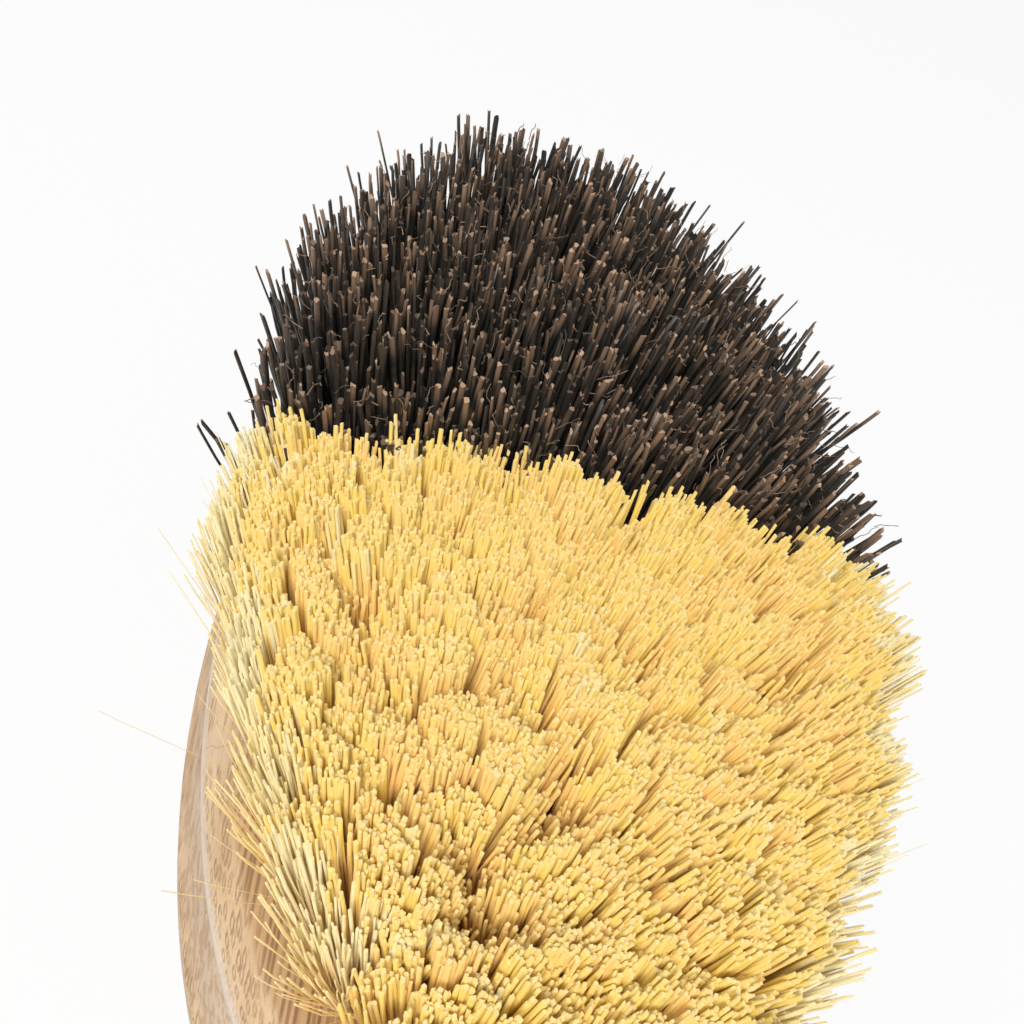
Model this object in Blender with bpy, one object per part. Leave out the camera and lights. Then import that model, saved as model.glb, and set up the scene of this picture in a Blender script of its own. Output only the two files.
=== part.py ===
# Vegetable brush: an oval bamboo block with a finger groove round its side, drilled with
# staggered rows of blind holes. Each hole holds a tuft of fibre, folded over a flat wire staple
# whose ends bite into the wood. Coarse palm fibre fills the +Y end and fine sisal the -Y end.
# Metres, +Z up. The flat back rests on z = 0, and the bristles point up.

import math
import random

import bmesh
import bpy
from mathutils import Matrix, Vector
from mathutils.geometry import delaunay_2d_cdt

# Block, measured over the lip under the groove
block_length = 0.124
block_width = 0.060
oval_fullness_share = 2.1
outline_sides = 64
sharp_edge_angle = math.radians(38)

# Side of the block from the back up: back edge, lip, finger groove, rim and face edge
back_edge_width = 0.0065
back_edge_height = 0.0095
back_edge_steps = 5
lip_height = 0.0010
groove_height = 0.0090
groove_depth = 0.0030
groove_steps = 8
rim_inset = 0.0012
rim_height = 0.0009
face_edge_width = 0.0050
face_edge_height = 0.0036
face_edge_steps = 4

# Field of drilled holes, as staggered rows inside a smaller oval
side_margin = 0.0095
end_margin = 0.0085
widest_row_tufts = 6
outer_column_share = 0.927
rows_each_way = 6
last_row_share = 0.972
row_draw_share = 0.5
last_sisal_row = -1

# Hole, and the folded root of the tuft in it
root_radius = 0.0024
root_depth = 0.0110
root_stand = 0.0005
root_sides = 10
fit_gap = 0.0003
cut_overrun = 0.0020
drill_lean_share = 0.6

# Flat wire staple across the fold, at the floor of the hole
staple_height = 0.0016
staple_thickness = 0.0005
staple_bite = 0.0006

# Strands of a tuft, which fan out towards the edges of the brush
bristle_height = 0.0240
fan_angle_across = math.radians(15)
fan_angle_along = math.radians(8)
strands_per_tuft = 8
strand_sides = 3
strand_root_radius = 0.00042
strand_tip_radius = 0.00085
strand_margin = 0.00015
strand_gap = 0.0004
length_spread = 0.0010
side_spread = 0.0002
stray_reach = 0.0035
stray_share = 0.8
same_point_share = 1e-6
seed = 11

half_length = block_length / 2
half_width = block_width / 2
block_height = back_edge_height + lip_height + groove_height + rim_height + face_edge_height
field_half_length = half_length - end_margin
field_half_width = half_width - side_margin
column_pitch = 2 * field_half_width * outer_column_share / (widest_row_tufts - 1)
row_pitch = field_half_length * last_row_share / rows_each_way


def clear_scene():
    for thing in list(bpy.data.objects):
        bpy.data.objects.remove(thing, do_unlink=True)


def make_material(name, colour, roughness, metallic=0.0):
    material = bpy.data.materials.new(name)
    material.use_nodes = True
    shader = material.node_tree.nodes["Principled BSDF"]
    shader.inputs["Base Color"].default_value = (*colour, 1.0)
    shader.inputs["Roughness"].default_value = roughness
    shader.inputs["Metallic"].default_value = metallic
    return material


def add_object(name, builder, material):
    mesh = bpy.data.meshes.new(name)
    builder.to_mesh(mesh)
    builder.free()
    mesh.materials.append(material)
    thing = bpy.data.objects.new(name, mesh)
    bpy.context.scene.collection.objects.link(thing)
    return thing


def circle_points(centre, radius, sides, start):
    points = []
    for side in range(sides):
        turn = start + 2 * math.pi * side / sides
        points.append(Vector((centre.x + radius * math.cos(turn), centre.y + radius * math.sin(turn))))
    return points


# Oval outline

def oval_reach(value):
    return math.copysign(abs(value) ** (2 / oval_fullness_share), value)


def oval_point(reach_across, reach_along, height, turn):
    x = reach_across * oval_reach(math.cos(turn))
    y = reach_along * oval_reach(math.sin(turn))
    return Vector((x, y, height))


def field_share(x, y):
    across = (abs(x) / field_half_width) ** oval_fullness_share
    along = (abs(y) / field_half_length) ** oval_fullness_share
    return across + along


def field_edge_at(y):
    left_over = 1 - (abs(y) / field_half_length) ** oval_fullness_share
    return field_half_width * max(0.0, left_over) ** (1 / oval_fullness_share)


# Bamboo block

def side_profile():
    points = []
    for step in range(back_edge_steps + 1):
        turn = math.pi / 2 * step / back_edge_steps
        points.append((back_edge_width * (1 - math.sin(turn)), back_edge_height * (1 - math.cos(turn))))
    groove_floor = back_edge_height + lip_height
    points.append((0.0, groove_floor))
    for step in range(1, groove_steps + 1):
        share = step / groove_steps
        inset = rim_inset * share + groove_depth * math.sin(math.pi * share)
        points.append((inset, groove_floor + groove_height * share))
    rim_top = groove_floor + groove_height + rim_height
    for step in range(face_edge_steps + 1):
        turn = math.pi / 2 * step / face_edge_steps
        inset = rim_inset + face_edge_width * (1 - math.cos(turn))
        points.append((inset, rim_top + face_edge_height * math.sin(turn)))
    return points


def make_block(material):
    builder = bmesh.new()
    rings = []
    for inset, height in side_profile():
        ring = []
        for side in range(outline_sides):
            turn = 2 * math.pi * side / outline_sides
            ring.append(builder.verts.new(oval_point(half_width - inset, half_length - inset, height, turn)))
        rings.append(ring)
    for lower, upper in zip(rings, rings[1:]):
        for side in range(outline_sides):
            after = (side + 1) % outline_sides
            builder.faces.new((lower[side], lower[after], upper[after], upper[side]))
    builder.faces.new(list(reversed(rings[0])))
    builder.faces.new(rings[-1])
    block = add_object("bamboo_block", builder, material)
    block.data.shade_smooth()
    block.data.set_sharp_from_angle(angle=sharp_edge_angle)
    return block


# Places of the tufts. A shorter row is drawn out part of the way to the edge of the field.

def tuft_places():
    places = []
    for row in range(-rows_each_way, rows_each_way + 1):
        y = row * row_pitch
        column = 0.5 if row % 2 == 0 else 0.0
        columns = []
        while field_share(column * column_pitch, y) <= 1:
            columns.append(column)
            column += 1
        if not columns:
            continue
        outermost = columns[-1] * column_pitch
        draw = 1.0
        if outermost > 0:
            draw += row_draw_share * (field_edge_at(y) / outermost - 1)
        for column in sorted(set(columns) | {-value for value in columns}):
            places.append((row, column * column_pitch * draw, y))
    return places


def lean_at(x, y):
    across = math.tan(fan_angle_across) * x / field_half_width
    along = math.tan(fan_angle_along) * y / field_half_length
    return Vector((across, along, 1.0))


def tip_centre(x, y):
    return Vector((x, y, block_height)) + lean_at(x, y) * bristle_height


def drill_frame(x, y):
    lean = lean_at(x, y)
    axis = Vector((lean.x * drill_lean_share, lean.y * drill_lean_share, 1.0)).normalized()
    across = (Vector((1.0, 0.0, 0.0)) - axis * axis.x).normalized()
    along = axis.cross(across)
    frame = Matrix((along, -across, axis)).transposed().to_4x4()
    frame.translation = Vector((x, y, block_height))
    return frame


# Root of a tuft with its staple, and the hole that takes them

def root_outline(radius):
    return circle_points(Vector((0.0, 0.0)), radius, root_sides, math.pi / root_sides)


def root_ring(builder, radius, height):
    return [builder.verts.new((point.x, point.y, height)) for point in root_outline(radius)]


def hang_root(builder, top_ring, clearance):
    upper = root_ring(builder, root_radius + clearance, staple_height - root_depth + clearance)
    lower = root_ring(builder, root_radius + clearance, -root_depth - clearance)
    staple_ends = []
    for high, low in ((top_ring, upper), (upper, lower)):
        for side in range(root_sides):
            after = (side + 1) % root_sides
            face = builder.faces.new((high[side], low[side], low[after], high[after]))
            if low is lower and side in (root_sides // 2 - 1, root_sides - 1):
                staple_ends.append(face)
    builder.faces.new(list(reversed(lower)))
    for face in staple_ends:
        face.normal_update()
        outward = face.normal.copy()
        end = bmesh.ops.extrude_discrete_faces(builder, faces=[face])["faces"][0]
        for vert in end.verts:
            vert.co += outward * (staple_bite + clearance)
            vert.co.y = math.copysign(staple_thickness / 2 + clearance, vert.co.y)


def drill_block(block, places):
    drill = bmesh.new()
    for row, x, y in places:
        hole = bmesh.new()
        mouth = root_ring(hole, root_radius + fit_gap, root_stand + cut_overrun)
        hole.faces.new(mouth)
        hang_root(hole, mouth, fit_gap)
        hole.transform(drill_frame(x, y))
        one_hole = bpy.data.meshes.new("one hole")
        hole.to_mesh(one_hole)
        hole.free()
        drill.from_mesh(one_hole)
        bpy.data.meshes.remove(one_hole)
    bmesh.ops.recalc_face_normals(drill, faces=drill.faces)
    cutter = add_object("tuft_hole_drill", drill, block.data.materials[0])
    cutter.hide_render = True
    cutter.display_type = "WIRE"
    cut = block.modifiers.new("tuft holes", "BOOLEAN")
    cut.operation = "DIFFERENCE"
    cut.solver = "EXACT"
    cut.object = cutter


# Strands of a tuft

def strand_feet(start):
    reach = root_radius - strand_root_radius - strand_margin
    golden_angle = math.pi * (3 - math.sqrt(5))
    feet = []
    for index in range(strands_per_tuft):
        distance = reach * math.sqrt((index + 0.5) / strands_per_tuft)
        turn = start + golden_angle * index
        feet.append(Vector((distance * math.cos(turn), distance * math.sin(turn))))
    return feet


def root_top(builder, feet, start):
    # The top of the root is one flat sheet in which the foot of each strand is left open.
    flat = root_outline(root_radius)
    rim_links = [(side, (side + 1) % root_sides) for side in range(root_sides)]
    footprints = []
    for foot in feet:
        footprints.append(list(range(len(flat), len(flat) + strand_sides)))
        flat += circle_points(foot, strand_root_radius, strand_sides, start)
    sheet = delaunay_2d_cdt(flat, rim_links, footprints, 0, root_radius * same_point_share)
    points, faces, came_from, face_sources = sheet[0], sheet[2], sheet[3], sheet[5]
    verts = [builder.verts.new((point[0], point[1], root_stand)) for point in points]
    for face, sources in zip(faces, face_sources):
        if not sources:
            builder.faces.new([verts[spot] for spot in face])
    vert_of = {source: verts[spot] for spot, sources in enumerate(came_from) for source in sources}
    rim = [vert_of[side] for side in range(root_sides)]
    return rim, [[vert_of[source] for source in footprint] for footprint in footprints]


def tip_reach(places, index):
    # A tuft fans out to half of the way to its nearest neighbour, less a gap.
    here = tip_centre(places[index][1], places[index][2])
    distances = [(tip_centre(x, y) - here).length for row, x, y in places]
    nearest = sorted(distances)[1]
    return nearest / 2 - strand_tip_radius - side_spread - strand_gap / 2


def strand_tips(places, index, feet, frame, dice):
    row, x, y = places[index]
    spread = tip_reach(places, index) / (root_radius - strand_root_radius - strand_margin)
    outside = Vector((x / field_half_width ** 2, y / field_half_length ** 2, 0.0)).normalized()
    offsets = []
    for foot in feet:
        offset = frame.to_3x3() @ foot.to_3d() * spread
        offsets.append(Vector((offset.x, offset.y, 0.0)))
    outermost = max(offsets, key=outside.dot)
    on_edge = field_share(x * (1 + row_draw_share), y * (1 + row_draw_share)) > 1
    has_stray = dice.random() < stray_share and on_edge
    tips = []
    for offset in offsets:
        stray = outside * stray_reach if has_stray and offset is outermost else Vector()
        sway = Vector((dice.uniform(-1, 1), dice.uniform(-1, 1), 0.0)) * side_spread
        lift = Vector((0.0, 0.0, dice.uniform(-1, 1) * length_spread))
        tips.append(tip_centre(x, y) + offset + stray + sway + lift)
    return tips


def add_strand(builder, roots, tip, start):
    ends = []
    for corner in circle_points(tip, strand_tip_radius, strand_sides, start):
        ends.append(builder.verts.new((corner.x, corner.y, tip.z)))
    for corner in range(strand_sides):
        after = (corner + 1) % strand_sides
        builder.faces.new((roots[corner], roots[after], ends[after], ends[corner]))
    builder.faces.new(ends)


def make_tuft(name, material, places, index, dice):
    row, x, y = places[index]
    frame = drill_frame(x, y)
    start = dice.uniform(0, 2 * math.pi)
    feet = strand_feet(start)
    builder = bmesh.new()
    rim, strand_roots = root_top(builder, feet, start)
    hang_root(builder, rim, 0.0)
    for roots, tip in zip(strand_roots, strand_tips(places, index, feet, frame, dice)):
        add_strand(builder, roots, frame.inverted() @ tip, start)
    bmesh.ops.recalc_face_normals(builder, faces=builder.faces)
    tuft = add_object(name, builder, material)
    tuft.matrix_world = frame


def make_tufts(places, palm, sisal):
    dice = random.Random(seed)
    counts = {"palm": 0, "sisal": 0}
    for index, (row, x, y) in enumerate(places):
        kind = "sisal" if row <= last_sisal_row else "palm"
        counts[kind] += 1
        material = sisal if kind == "sisal" else palm
        make_tuft(f"{kind}_tuft_{counts[kind]:02d}", material, places, index, dice)
    print("tufts:", counts, "strands:", len(places) * strands_per_tuft)


clear_scene()
bamboo = make_material("bamboo", (0.72, 0.48, 0.28), 0.45)
palm_fibre = make_material("palm fibre", (0.060, 0.035, 0.024), 0.6)
sisal_fibre = make_material("sisal fibre", (0.91, 0.66, 0.22), 0.55)
tuft_spots = tuft_places()
brush_block = make_block(bamboo)
drill_block(brush_block, tuft_spots)
make_tufts(tuft_spots, palm_fibre, sisal_fibre)
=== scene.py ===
# An oval bamboo vegetable brush, seen from close by: palm fibre at the far end, sisal at the near end.
import math
import random

import bmesh
import bpy
from mathutils import Matrix, Vector


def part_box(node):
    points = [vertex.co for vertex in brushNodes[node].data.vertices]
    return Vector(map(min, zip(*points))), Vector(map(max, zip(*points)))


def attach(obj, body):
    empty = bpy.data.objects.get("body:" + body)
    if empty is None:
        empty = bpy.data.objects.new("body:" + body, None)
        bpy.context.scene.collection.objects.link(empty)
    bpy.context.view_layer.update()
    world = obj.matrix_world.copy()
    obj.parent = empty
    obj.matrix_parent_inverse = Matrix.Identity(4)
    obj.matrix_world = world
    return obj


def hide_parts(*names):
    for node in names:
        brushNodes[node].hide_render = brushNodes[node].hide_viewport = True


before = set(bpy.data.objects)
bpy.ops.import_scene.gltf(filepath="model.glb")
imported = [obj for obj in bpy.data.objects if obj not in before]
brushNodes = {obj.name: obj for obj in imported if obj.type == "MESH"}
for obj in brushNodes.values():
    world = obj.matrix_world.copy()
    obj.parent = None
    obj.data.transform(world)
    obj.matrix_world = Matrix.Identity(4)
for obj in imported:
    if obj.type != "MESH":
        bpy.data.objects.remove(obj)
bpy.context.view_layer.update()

photoSize = 1024
goldenAngle = math.pi * (3 - math.sqrt(5))
tuftNames = sorted(name for name in brushNodes if "_tuft_" in name)


class Wire:
    # One output socket. Its operators add maths nodes, so that a pattern reads as a sum.
    def __init__(self, tree, socket):
        self.tree = tree
        self.socket = socket

    def isVector(self):
        return self.socket.type in ("VECTOR", "RGBA")

    def maths(self, operation, *others):
        return self.tree.maths(operation, self, *others)

    def scaled(self, share):
        inputs = {"Vector": self, "Scale": share}
        return self.tree.wire("ShaderNodeVectorMath", {"operation": "SCALE"}, inputs)

    def __add__(self, other):
        return self.maths("ADD", other)

    def __radd__(self, other):
        return self.maths("ADD", other)

    def __sub__(self, other):
        return self.maths("SUBTRACT", other)

    def __rsub__(self, other):
        return self.tree.maths("SUBTRACT", other, self)

    def __mul__(self, other):
        if self.isVector() and not isVectorValue(other):
            return self.scaled(other)
        if isVectorValue(other) and not self.isVector():
            return other.scaled(self)
        return self.maths("MULTIPLY", other)

    def __rmul__(self, other):
        return self * other

    def __truediv__(self, other):
        return self.maths("DIVIDE", other)

    def __rtruediv__(self, other):
        return self.tree.maths("DIVIDE", other, self)

    def __pow__(self, power):
        return self.maths("POWER", power)

    def __gt__(self, other):
        return self.maths("GREATER_THAN", other)

    def __lt__(self, other):
        return self.maths("LESS_THAN", other)

    def part(self, axis):
        return self.tree.wire("ShaderNodeSeparateXYZ", None, {0: self}, axis)

    def awayFrom(self, middle):
        return (self - middle).maths("ABSOLUTE")

    def ease(self, low, high, toLow=0.0, toHigh=1.0):
        settings = {"interpolation_type": "SMOOTHSTEP", "clamp": True}
        inputs = {0: self, 1: low, 2: high, 3: toLow, 4: toHigh}
        return self.tree.wire("ShaderNodeMapRange", settings, inputs)


def isVectorValue(value):
    return isinstance(value, tuple) or isinstance(value, Wire) and value.isVector()


class NodeTree:
    def __init__(self, nodeTree):
        self.nodeTree = nodeTree

    def feed(self, socket, value):
        if isinstance(value, Wire):
            self.nodeTree.links.new(value.socket, socket)
        else:
            socket.default_value = value

    def node(self, kind, settings=None, inputs=None):
        made = self.nodeTree.nodes.new(kind)
        for name, value in (settings or {}).items():
            if name == "stops":
                self.setStops(made.color_ramp, value)
            else:
                setattr(made, name, value)
        for name, value in (inputs or {}).items():
            self.feed(made.inputs[name], value)
        return made

    def wire(self, kind, settings=None, inputs=None, output=0):
        return Wire(self, self.node(kind, settings, inputs).outputs[output])

    def setStops(self, ramp, stops):
        while len(ramp.elements) < len(stops):
            ramp.elements.new(1.0)
        for element, (place, colour) in zip(ramp.elements, stops):
            element.position = place
            element.color = (*colour, 1.0)

    def maths(self, operation, *values):
        kind = "ShaderNodeVectorMath" if any(isVectorValue(value) for value in values) else "ShaderNodeMath"
        output = "Value" if operation in ("DOT_PRODUCT", "LENGTH") else 0
        return self.wire(kind, {"operation": operation}, dict(enumerate(values)), output)

    def vector(self, x, y, z):
        return self.wire("ShaderNodeCombineXYZ", None, {0: x, 1: y, 2: z})

    def blend(self, share, first, second):
        # The mix node has a set of sockets for each kind of value, and these are those for colours
        settings = {"data_type": "RGBA", "clamp_factor": True}
        return self.wire("ShaderNodeMix", settings, {0: share, 6: first, 7: second}, 2)


def rgba(colour):
    return (*colour, 1.0)


white = rgba((1.0, 1.0, 1.0))


def addMeshObject(name, builder):
    mesh = bpy.data.meshes.new(name)
    builder.to_mesh(mesh)
    builder.free()
    made = bpy.data.objects.new(name, mesh)
    bpy.context.scene.collection.objects.link(made)
    return made


def meshAsSeen(made):
    # The modifiers' result becomes the object's own plain mesh
    graph = bpy.context.evaluated_depsgraph_get()
    plain = bpy.data.meshes.new_from_object(made.evaluated_get(graph), depsgraph=graph)
    made.modifiers.clear()
    bare = made.data
    made.data = plain
    bpy.data.meshes.remove(bare)
    return plain


def newMaterial(name, roughness, more=None):
    material = bpy.data.materials.new(name)
    material.use_nodes = True
    tree = NodeTree(material.node_tree)
    shader = material.node_tree.nodes["Principled BSDF"]
    shader.inputs["Roughness"].default_value = roughness
    for label, value in (more or {}).items():
        shader.inputs[label].default_value = value
    return material, tree, shader


# Camera, fitted to the block's side and to the field of tips
cameraLook = {
    "place": Vector((-0.0218, -0.0864, 0.1147)),
    "pitch": math.radians(41.4),
    "yaw": math.radians(-12.2),
    "roll": math.radians(20.4),
    "focalPixels": 1200,
    "nearest": 0.002,
    "farthest": 20.0,
}


def makeCamera():
    look = cameraLook
    pitch, yaw, roll = look["pitch"], look["yaw"], look["roll"]
    forward = Vector((-math.sin(yaw) * math.cos(pitch), math.cos(yaw) * math.cos(pitch), -math.sin(pitch)))
    level = Vector((math.cos(yaw), math.sin(yaw), 0.0))
    down = forward.cross(level)
    right = level * math.cos(roll) - down * math.sin(roll)
    up = -(level * math.sin(roll) + down * math.cos(roll))
    camera = bpy.data.objects.new("camera", bpy.data.cameras.new("camera"))
    bpy.context.scene.collection.objects.link(camera)
    turn = Matrix((right, up, -forward)).transposed().to_4x4()
    camera.matrix_world = Matrix.Translation(look["place"]) @ turn
    camera.data.lens = camera.data.sensor_width * look["focalPixels"] / photoSize
    camera.data.clip_start = look["nearest"]
    camera.data.clip_end = look["farthest"]
    bpy.context.scene.camera = camera
    print("camera placed")


# Pale floor and soft light
stageLook = {
    "floorSize": 6.0,
    "floorColour": (0.86, 0.86, 0.86),
    "floorRoughness": 0.9,
    "floorGlow": 0.85,
    "worldLight": 0.48,
    "lamps": {
        "keyLamp": {"place": Vector((-0.50, -0.15, 0.80)), "size": 0.5, "power": 1.2},
        "fillLamp": {"place": Vector((-0.20, -0.62, 0.70)), "size": 0.3, "power": 5.8},
    },
}


def makeLamp(name, look):
    lamp = bpy.data.lights.new(name, "AREA")
    lamp.shape = "DISK"
    lamp.size = look["size"]
    lamp.energy = look["power"]
    made = bpy.data.objects.new(name, lamp)
    bpy.context.scene.collection.objects.link(made)
    made.location = look["place"]
    made.rotation_mode = "QUATERNION"
    made.rotation_quaternion = (-look["place"]).to_track_quat("-Z", "Y")


def seenWhite(tree):
    # What the camera, a mirror and a clear surface see is white
    path = tree.node("ShaderNodeLightPath")
    seen = [Wire(tree, path.outputs[f"Is {kind} Ray"]) for kind in ("Camera", "Glossy", "Transmission")]
    return (seen[0] + seen[1] + seen[2]).maths("MINIMUM", 1.0)


def makeFloor():
    look = stageLook
    builder = bmesh.new()
    bmesh.ops.create_grid(builder, x_segments=1, y_segments=1, size=look["floorSize"] / 2)
    floor = addMeshObject("floor", builder)
    base = {"Base Color": rgba(look["floorColour"])}
    material, tree, shader = newMaterial("paleFloor", look["floorRoughness"], base)
    glow = tree.wire("ShaderNodeEmission", None, {"Color": white, "Strength": 1.0})
    share = seenWhite(tree) * look["floorGlow"]
    both = tree.wire("ShaderNodeMixShader", None, {0: share, 1: Wire(tree, shader.outputs[0]), 2: glow})
    tree.feed(tree.nodeTree.nodes["Material Output"].inputs["Surface"], both)
    floor.data.materials.append(material)


def makeWorld():
    world = bpy.data.worlds.new("softLight")
    world.use_nodes = True
    bpy.context.scene.world = world
    tree = NodeTree(world.node_tree)
    background = world.node_tree.nodes["Background"]
    dimmed = stageLook["worldLight"]
    tree.feed(background.inputs["Strength"], seenWhite(tree) * (1 - dimmed) + dimmed)
    tree.feed(background.inputs["Color"], white)


def makeStage():
    makeFloor()
    makeWorld()
    for name, lamp in stageLook["lamps"].items():
        makeLamp(name, lamp)
    print("stage and lamps made")


# No fibre goes past these corners
strayLow = (-0.0340, -0.0645, 0.0)
strayHigh = (0.0333, 0.0645, 0.0499)

# Where the frame puts each tuft
tuftLook = {
    "sliceShare": 0.05, "unevenTip": 0.0008, "unevenEdge": 0.0003, "unevenReach": 0.08, "seed": 3,
    "edgeStep": 1.5, "edgeReach": 2.6, "edgeRoom": {"sisal": 0.0004, "palm": 0.0032}, "edgeInset": 0.0035,
    "fieldFullness": 2.1, "strayStart": 1.3, "leastWay": 0.2,
    "rowSlack": 0.001, "meetLean": {"sisal": 0.0042, "palm": 0.0020},
}


def middleOf(points):
    return sum(points, Vector()) / len(points)


def readTuft(name, faceHeight):
    places = [vert.co.copy() for vert in brushNodes[name].data.vertices]
    lowest = min(place.z for place in places)
    highest = max(place.z for place in places)
    near = (highest - faceHeight) * tuftLook["sliceShare"]
    root = middleOf([place for place in places if abs(place.z - faceHeight) < near])
    floor = middleOf([place for place in places if place.z < lowest + near])
    tips = [place for place in places if place.z > (highest + faceHeight) / 2]
    across = sorted(place.x for place in tips)
    along = sorted(place.y for place in tips)
    middle = len(tips) // 2
    tip = Vector((across[middle], along[middle], sum(place.z for place in tips) / len(tips)))
    kind = name.split("_")[0]
    return {"name": name, "kind": kind, "root": root, "axis": (root - floor).normalized(), "tip": tip}


def findEdge(tuft, tufts, field):
    # A tuft with no other beyond it is at the edge of the field, and has some room to lean and stray out
    look = tuftLook
    tip = tuft["tip"].to_2d()
    gaps = sorted((tuft["tip"] - other["tip"]).length for other in tufts)
    tuft["reach"] = gaps[1] / 2
    way = Vector((tip.x / field.x ** 2, tip.y / field.y ** 2)).normalized()
    beyond = [other for other in tufts
              if (other["tip"].to_2d() - tip).dot(way) > look["edgeStep"] * tuft["reach"]
              and (other["tip"] - tuft["tip"]).length < look["edgeReach"] * tuft["reach"]]
    if beyond:
        tuft.update(edgeWay=Vector(), edgeRoom=0.0, strayRoom=0.0)
        return
    power = look["fieldFullness"]
    across, along = field.x - look["edgeInset"], field.y - look["edgeInset"]
    out = (abs(tip.x / across) ** power + abs(tip.y / along) ** power) ** (-1 / power)
    room = (out - 1) * tip.dot(way) - tuft["reach"]
    tuft["edgeWay"] = way.to_3d()
    tuft["edgeRoom"] = min(max(room, 0.0), look["edgeRoom"][tuft["kind"]])
    start = tuft["edgeRoom"] + look["strayStart"] * tuft["reach"]
    left = [strayHigh[axis] - abs(tip[axis]) - abs(way[axis]) * start for axis in (0, 1)]
    tuft["strayRoom"] = max(0.0, min(left[axis] / max(abs(way[axis]), look["leastWay"]) for axis in (0, 1)))


def leanWhereFibresMeet(tufts):
    # The two rows where sisal and palm meet lean towards the sisal at their ends
    slack = tuftLook["rowSlack"]
    lastSisal = max(tuft["root"].y for tuft in tufts if tuft["kind"] == "sisal")
    firstPalm = min(tuft["root"].y for tuft in tufts if tuft["kind"] == "palm")
    meeting = [tuft for tuft in tufts if lastSisal - slack < tuft["root"].y < firstPalm + slack]
    widest = max(abs(tuft["root"].x) for tuft in meeting)
    for tuft in meeting:
        tuft["tip"].y -= tuftLook["meetLean"][tuft["kind"]] * (tuft["root"].x / widest) ** 2


def readTufts():
    look = tuftLook
    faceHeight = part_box("bamboo_block")[1].z
    tufts = [readTuft(name, faceHeight) for name in tuftNames]
    corners = [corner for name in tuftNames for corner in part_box(name)]
    field = Vector([max(abs(corner[axis]) for corner in corners) for axis in (0, 1)])
    for tuft in tufts:
        findEdge(tuft, tufts, field)
    leanWhereFibresMeet(tufts)
    draw = random.Random(look["seed"])
    for tuft in tufts:
        push = look["unevenTip" if tuft["edgeWay"].length == 0 else "unevenEdge"]
        tuft["tip"] += Vector([draw.uniform(-push, push) for axis in range(3)])
        tuft["reach"] *= 1 + draw.uniform(-1, 1) * look["unevenReach"]
    print("tufts read:", len(tufts))
    return tufts


# What the fibres' node group reads from each tuft
tuftFacts = (
    ("tuftAxis", "axis"), ("tipCentre", "tip"), ("edgeWay", "edgeWay"),
    ("tipReach", "reach"), ("edgeRoom", "edgeRoom"), ("strayRoom", "strayRoom"),
)


def addAttribute(mesh, name, values):
    if isinstance(values[0], Vector):
        flat = [number for value in values for number in value]
        mesh.attributes.new(name, "FLOAT_VECTOR", "POINT").data.foreach_set("vector", flat)
    else:
        mesh.attributes.new(name, "FLOAT", "POINT").data.foreach_set("value", values)


def tuftPoints(name, tufts, startShare):
    mesh = bpy.data.meshes.new(name)
    mesh.from_pydata([tuft["root"].lerp(tuft["tip"], startShare) for tuft in tufts], [], [])
    for attribute, fact in tuftFacts:
        addAttribute(mesh, attribute, [tuft[fact] for tuft in tufts])
    made = bpy.data.objects.new(name, mesh)
    bpy.context.scene.collection.objects.link(made)
    return made


# Geometry node groups

def newGroup(name, inputs):
    group = bpy.data.node_groups.new(name, "GeometryNodeTree")
    group.interface.new_socket("Geometry", in_out="INPUT", socket_type="NodeSocketGeometry")
    for kind, labels in inputs.items():
        for label in labels:
            group.interface.new_socket(label, in_out="INPUT", socket_type=f"NodeSocket{kind}")
    group.interface.new_socket("Geometry", in_out="OUTPUT", socket_type="NodeSocketGeometry")
    tree = NodeTree(group)
    entry = tree.node("NodeGroupInput")
    given = {socket.name: Wire(tree, socket) for socket in entry.outputs if socket.name}
    return group, tree, given


def endGroup(tree, geometry, material):
    whole = tree.wire("GeometryNodeRealizeInstances", None, {0: geometry})
    coated = tree.wire("GeometryNodeSetMaterial", None, {"Geometry": whole, "Material": material})
    tree.node("NodeGroupOutput", None, {0: coated})


def applyGroup(made, group, values):
    modifier = made.modifiers.new(group.name, "NODES")
    modifier.node_group = group
    for item in group.interface.items_tree:
        if item.in_out == "INPUT" and item.name in values:
            modifier[item.identifier] = values[item.name]
    return meshAsSeen(made)


def stored(tree, geometry, name, value, kind="FLOAT", domain="POINT"):
    settings = {"data_type": kind, "domain": domain}
    inputs = {"Geometry": geometry, "Name": name, "Value": value}
    return tree.wire("GeometryNodeStoreNamedAttribute", settings, inputs)


def named(tree, name, kind="FLOAT"):
    return tree.wire("GeometryNodeInputNamedAttribute", {"data_type": kind}, {"Name": name})


def randomNumber(tree, seed, low=0.0, high=1.0):
    inputs = {"Min": low, "Max": high, "Seed": seed}
    node = tree.node("FunctionNodeRandomValue", {"data_type": "FLOAT"})
    for socket in node.inputs:
        if socket.enabled and socket.name in inputs:
            tree.feed(socket, inputs[socket.name])
    return Wire(tree, [socket for socket in node.outputs if socket.enabled][0])


# Bristles: each tuft's fibres leave its hole in a tight round bundle, fan out and end in small locks
bristleInputs = {
    "Int": ("Fibres in a tuft", "Sides", "Steps", "Seed"),
    "Float": (
        "Root radius", "Root sink", "Spread", "Uneven spread", "Stem share", "Fan share",
        "Thickness", "Uneven thickness", "Root thickness share", "Tip share", "Flatness", "Ragged end",
        "Uneven length", "Tall share", "Tall reach", "Loose share", "Loose drop",
        "Edge drop", "Edge uneven", "Edge spread", "Edge paleness", "Edge thinness",
        "Lock size", "Lock pull", "Lock lean", "Lock lift", "Clump size", "Clump pull", "Clump lift",
        "Bend", "Curl", "Curl scale", "Stray share", "Stray reach", "Stray thinness",
        "Softness", "Own tone", "Patch size", "Sunken shade", "Deep shade", "Deep reach",
    ),
    "Vector": ("Low limit", "High limit"),
    "Material": ("Material",),
}

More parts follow.
